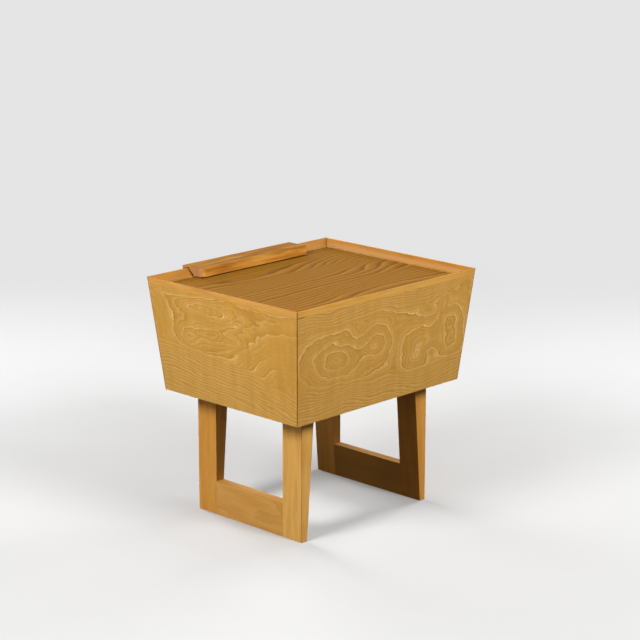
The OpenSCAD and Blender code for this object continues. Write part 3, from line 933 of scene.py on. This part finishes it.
back_mounds = [
    (129, 131, 44, 36, 0, -1.35), (125, 125, 83, 46, 0, -1.9), (75, 104, 50, 33, 0, -0.2),
    (238, 110, 38, 25, 0, -0.6), (250, 125, 46, 46, 0, -1.5), (273, 138, 25, 38, 0, -0.3),
    (233, 158, 58, 17, -8, 0.2), (179, 154, 33, 25, 0, -0.6), (200, 79, 25, 21, 0, 0.5),
    (400, 138, 62, 38, 0, -1.1), (367, 138, 42, 38, 0, -0.3), (388, 179, 46, 25, 0, -0.9),
    (425, 167, 25, 17, 0, 0.7), (492, 133, 25, 46, 8, -1.0), (500, 167, 38, 29, 0, -0.9),
    (462, 62, 12, 29, 15, -1.3), (479, 100, 33, 25, 0, -1.1), (354, 62, 67, 21, 10, 0.5),
    (417, 75, 38, 21, 0, 0.8), (312, 125, 21, 62, 0, 0.3), (450, 142, 33, 33, 0, -0.4),
    (42, 125, 29, 50, 0, -0.3), (188, 179, 50, 17, 0, -0.4), (521, 125, 25, 50, 0, -0.5),
]
back_top_rows = (50, 6.5, [(400, 79, 10), (250, 62, -8), (570, 100, -46)])
back_bottom_rows = (180, 7.0, [(417, 125, 24), (233, 50, 8)])
back_still = [(27, 160, 30, 40, 0, 0.7)]
dress("back_panel", wall_veneer(
    "back_veneer", (0, 1, 0), back_mounds, back_top_rows, back_bottom_rows,
    seed=1.0, fine=0.25, across=0.3, fade=0.75, still=back_still, stains=[glue_line]))
right_mounds = [
    (175, 43, 60, 12, -3, -1.5), (119, 113, 19, 13, 0, -1.4), (125, 106, 33, 25, 0, -0.5),
    (167, 99, 54, 15, 0, -0.9), (200, 100, 38, 17, 0, -0.5), (-15, 110, 80, 90, 0, 1.3),
    (258, 100, 27, 10, 0, -1.2), (250, 72, 42, 8, -25, -0.9), (400, 168, 120, 70, -20, 3.0),
    (233, 50, 50, 10, -10, -0.3),
]
right_top_rows = (14, 7.0, [(100, 60, 10)])
right_bottom_rows = (140, 6.8, [(440, 170, 46), (60, 60, -5)])
right_still = [(420, 100, 66, 80, 0, 1.0), (282, 127, 34, 18, 0, 0.9), (38, 68, 26, 56, 0, 0.85)]
dress("side_panel_right", wall_veneer(
    "right_veneer", (1, 0, 0), right_mounds, right_top_rows, right_bottom_rows,
    seed=5.0, base=0.7, fine=0.35, across=0.35, fade=0.7, still=right_still))
print("veneers in view: mounds", len(back_mounds), "and", len(right_mounds))

# %% [markdown]
# The floor is matt, pale, and without an edge, because it fades into the backdrop far from the piece.
# A pale floor would throw much light up under the case and onto the frames, so its colour is dark for
# light that bounces, and pale only for what the camera and mirrors see.

# %% The floor
floor_lumps = (400, 400, 400)
floor_tones = (0.51, 0.53)
bounced_tone = (0.055, 0.053, 0.051, 1)
floor_fade = (500, 2600)


def pale_floor():
    """A matt pale floor that throws little light back up and becomes the backdrop far away."""
    f = Finish("pale_floor")
    mottle = f.noise(f.place, floor_lumps, 3)
    colour = f.ramp(mottle, [(0.3, floor_tones[0]), (0.7, floor_tones[1])])
    rays = f.add("ShaderNodeLightPath").outputs
    seen = f.maths("MAXIMUM", rays["Is Camera Ray"], rays["Is Transmission Ray"])
    seen = f.maths("MAXIMUM", seen, rays["Is Glossy Ray"])
    colour = f.blend("MIX", seen, bounced_tone, colour)
    material = f.finish(colour, f.maths("MULTIPLY_ADD", mottle, 0.1, 0.75), mottle, 0.01)
    glow = f.add("ShaderNodeEmission", (1, 1, 1, 1), backdrop_tone)
    from_middle = f.vector("LENGTH", f.place)
    away = f.add(
        "ShaderNodeMapRange", from_middle, *floor_fade, 0, 1, interpolation_type="SMOOTHSTEP")
    share = f.maths("MULTIPLY", away.outputs[0], seen)
    both = f.add("ShaderNodeMixShader", share, f.shader.outputs[0], glow.outputs[0])
    f.fill(f.tree.nodes["Material Output"].inputs["Surface"], both.outputs[0])
    return material


floor.data.materials.append(pale_floor())
print("floor fades from", floor_fade[0], "to", floor_fade[1], "mm")

# %% [markdown]
# The left wall and the drawer front don't show in the picture. They get the same veneer, with islands
# of their own.

# %% Veneer out of view
left_mounds = [
    (110, 105, 50, 32, 8, -2.2), (120, 120, 80, 48, 0, -0.8), (215, 85, 40, 22, -15, 0.9),
    (300, 120, 60, 36, -6, -1.7), (335, 95, 30, 24, 20, -0.9), (370, 150, 44, 22, 0, 0.8),
    (60, 60, 40, 24, 0, 0.6), (250, 150, 46, 18, 10, -0.7), (400, 80, 36, 40, 0, -0.8),
]
dress("side_panel_left", wall_veneer(
    "left_veneer", (-1, 0, 0), left_mounds, (40, 6.5, [(250, 90, 10)]), (166, 6.4, [(200, 80, 16)]),
    seed=9.0, fine=0.35, across=0.2))
front_mounds = [
    (150, 120, 56, 34, -8, -2.3), (170, 118, 92, 48, 0, -1.2), (255, 90, 36, 26, 20, 1.0),
    (330, 130, 40, 44, 0, -1.6), (350, 100, 80, 30, 12, -0.9), (430, 120, 54, 38, 0, -1.5),
    (468, 92, 22, 34, 10, -0.8), (80, 80, 44, 28, 0, 0.7), (288, 170, 40, 16, 0, 0.8),
    (400, 178, 60, 18, -5, -0.8), (510, 140, 26, 48, 0, 0.6),
]
dress("drawer_front", wall_veneer(
    "front_veneer", (0, -1, 0), front_mounds, (42, 6.5, [(270, 90, 12)]), (182, 6.2, [(300, 120, 18)]),
    seed=13.0, fine=0.3, across=0.2))
print("veneers out of view: mounds", len(left_mounds), "and", len(front_mounds))

# %% [markdown]
# The strips are sawn with straight grain along their length, paler and redder than the veneer, and
# their bevels are painted darker than their outer sides, as painted shade. The left one faces the camera
# with its bevel, whose flat top is darkened less, a painted highlight, and whose lower part is a little
# lighter again. Under the pull the front strip is painted dark, as painted shade in the seam.

# %% Wood of the strips
strip_tones = (srgb(234, 179, 97), srgb(220, 162, 80), srgb(191, 128, 51))
back_strip_tones = (srgb(233, 180, 92), srgb(221, 164, 76), srgb(191, 130, 50))
band_level = rim_level / MM - 4.5
inset = Vector((1, 0, 0)) * MM
# Painted shade in the seam under the pull.
shade_under_pull = (pull_low + inset - Vector((0, 0, 1)), pull_high - inset, 0.2, seam_shade_tone)
strip_stains = {"rim_front": [shade_under_pull], "rim_back": [glue_line]}
strip_grain = {"rim_right": "Y", "rim_left": "Y", "rim_back": "X", "rim_front": "X"}
for number, (node, along) in enumerate(strip_grain.items()):
    on_left = node == "rim_left"
    dress(node, solid_wood(
        node + "_wood", along, back_strip_tones if node == "rim_back" else strip_tones,
        heart=(60, 90 + 20 * number), ring=2.6, seed=number + 20.0,
        upward=left_bevel_shade_and_highlight if on_left else bevel_shade, band=band_level if on_left else 0,
        mitred=True, stains=strip_stains.get(node, ())))
print("strips dressed:", len(strip_grain))

# %% [markdown]
# The tray's veneer is darker and was sliced flat, which gives long flames: a map with mounds that are
# far wider than they are deep. Its places are counted from the right front corner, and a painted
# shadow lies along the foot of the pull and a little past its end.

# %% Veneer of the tray
tray_tones = (srgb(169, 123, 49), srgb(147, 101, 33), srgb(134, 89, 23), srgb(82, 48, 10))
tray_sheet = (case_mid + Vector((half_wide, -half_deep, 0)), Vector((-1, 0, 0)), Vector((0, 1, 0)))
tray_mounds = [
    (240, 150, 170, 60, 0, -1.6), (540, 190, 150, 110, 0, 3.8), (330, 330, 180, 70, -4, 1.6),
    (130, 380, 130, 50, 0, -1.2), (420, 270, 110, 60, -8, -1.2),
    (200, 90, 500, 20, 0, 0.9), (300, 150, 500, 18, 1, -0.8), (250, 215, 500, 22, 0, 0.9),
    (250, 300, 500, 20, -1, -0.9), (250, 375, 500, 22, 0, 0.8),
    (170, 120, 60, 9, 0, -0.4), (350, 178, 40, 7, 0, -0.2),
]
# Painted shadow of the pull on the tray.
pull_shadow_on_tray = (
    (pull_low.x - 5 * MM, pull_high.y - 4.5 * MM, 0),
    (pull_high.x + 2 * MM, pull_high.y + 1 * MM, 1), 1.2, pull_shadow_tone,
)
dress("tray_panel", figured_veneer(
    "tray_veneer", tray_sheet, tray_mounds, (-60, 19, []), (-40, 14, []), tray_tones,
    seed=31.0, fine=0.08, calm=0.3, fade=0.3, waver=0.4, stains=[pull_shadow_on_tray], gloss=0.02))
print("tray: mounds", len(tray_mounds))

# %% [markdown]
# The leg frames are of straight wood, each board with another heart and seed, so that no two show the
# same lines. The post nearest the camera is the palest and has a thin brown line along its outer
# corner. Inner faces that stand in shade are painted darker, as painted shade.

# %% Wood of the leg frames
gold_tones = (srgb(234, 184, 104), srgb(221, 167, 85), srgb(197, 136, 59))
orange_tones = (srgb(223, 164, 79), srgb(210, 148, 65), srgb(188, 121, 46))
rail_tones = (srgb(215, 163, 89), srgb(205, 149, 73), srgb(196, 137, 64))
edge_width = 1.1 * MM
post_edge = (
    post_high - Vector((edge_width, edge_width, 1)), post_high + Vector((1, 1, 0)), 0.3, edge_tone,
)
inward_ways = {"post_front_right": 0, "post_front_left": 0, "post_back_left": 1}
for number, (node, inward) in enumerate(inward_ways.items()):
    dress(node, solid_wood(
        node + "_wood", "Z", orange_tones, heart=(330, 420 + 30 * number), ring=2.2,
        seed=number + 40.0, sweep=2.0, end=end_tone, inward=inward))
dress("post_back_right", solid_wood(
    "post_back_right_wood", "Z", gold_tones, heart=(330, -178), ring=3.8,
    seed=43.0, sweep=6.0, end=end_tone, inward=-1, stains=[post_edge]))
level_boards = ("foot_rail_right", "foot_rail_left", "frame_cleat_right", "frame_cleat_left")
for number, node in enumerate(level_boards):
    dress(node, solid_wood(
        node + "_wood", "Y", rail_tones, heart=(200, 60 + 30 * number), ring=3.0,
        seed=number + 50.0, sweep=4, mottle=0.25, inward=1 if node.endswith("left") else -1))
print("leg frame boards dressed:", len(inward_ways) + 1 + len(level_boards))

# %% [markdown]
# The pull is a block of browner, streaky wood whose figure is mostly broad patches. Its top is painted
# darker, as painted shade. Its end shows end grain, and painted shade darkens the seam where it is
# notched over the strip.

# %% Wood of the pull
pull_tones = (srgb(222, 164, 76), srgb(188, 125, 46), srgb(134, 76, 18))
# Painted shade in the pull's notch over the strip.
shade_in_notch = (
    (pull_low.x + 0.7 * MM, strip_inner - 3.5 * MM, rim_level - 7 * MM),
    (pull_high.x - 0.7 * MM, strip_inner + 3.5 * MM, rim_level + 3.5 * MM), 0.2, seam_shade_tone,
)
dress("pull", solid_wood(
    "pull_wood", "X", pull_tones, heart=(-180, 480), ring=4.0, seed=61.0, end=end_tone,
    mottle=0.75, upward=pull_top_shade, stains=[shade_in_notch], gloss=0.02))
print("pull dressed")

# %% [markdown]
# The drawer box is of pale wood with a thin coat, and the boards that hold the case together are plain
# and a little darker. Dowels and splines are parts of the frame, and only get a material.

# %% Wood of the inner boards and dowels
pale_tones = (srgb(222, 192, 144), srgb(212, 180, 130), srgb(196, 160, 108))
plain_tones = (srgb(206, 172, 124), srgb(196, 158, 108), srgb(176, 136, 88))
side_grain = {"drawer_side_left": "Y", "drawer_side_right": "Y"}
box_grain = {"drawer_back": "X", "drawer_floor": "X"}
inner_grain = {
    "bottom_panel": "X", "front_rail": "X", "back_cleat": "X", "catch_block": "X",
    "kicker_left": "Y", "kicker_right": "Y", "runner_left": "Y", "runner_right": "Y",
    "glue_blocks": "Z", "stop_blocks": "Z", "corner_splines": "Z",
}
dowel_grain = {"foot_dowels": "Y", "cleat_dowels": "Y", "pull_dowels": "Z"}


def plain_boards(grain, tones, heart, ring, seed, rough):
    """Gives each board of a list its own piece of the same wood."""
    for number, (node, along) in enumerate(grain.items()):
        dress(node, solid_wood(node + "_wood", along, tones, heart, ring, seed + number, rough=rough))


plain_boards(side_grain, pale_tones, (90, 300), 3.0, 70.0, 0.55)
plain_boards(box_grain, pale_tones, (0, 200), 4.0, 75.0, 0.55)
plain_boards(inner_grain, plain_tones, (50, 330), 3.6, 80.0, 0.6)
plain_boards(dowel_grain, pale_tones, (40, 60), 2.0, 95.0, 0.55)
print("inner boards dressed:", len(side_grain) + len(box_grain) + len(inner_grain))

# %% [markdown]
# The screws are of zinc-plated steel: the shader is fully metallic, its pale grey tints what it
# mirrors, and fine blotches vary both tone and roughness.

# %% Steel of the screws
zinc_lumps = (1.2, 1.2, 1.2)


def zinc_steel():
    """Zinc-plated screws: pale, slightly blotched metal."""
    f = Finish("zinc_steel")
    blotch = f.noise(f.place, zinc_lumps, 3)
    colour = f.ramp(blotch, [(0.3, srgb(186, 184, 176)), (0.7, srgb(206, 205, 198))])
    f.shader.inputs["Metallic"].default_value = 1
    return f.finish(colour, f.maths("MULTIPLY_ADD", blotch, 0.2, 0.25), blotch, 0.01)


steel = zinc_steel()
for node in ("catch_screws", "frame_screws", "floor_screws"):
    dress(node, steel)
print("finished:", len(bpy.data.materials), "materials")
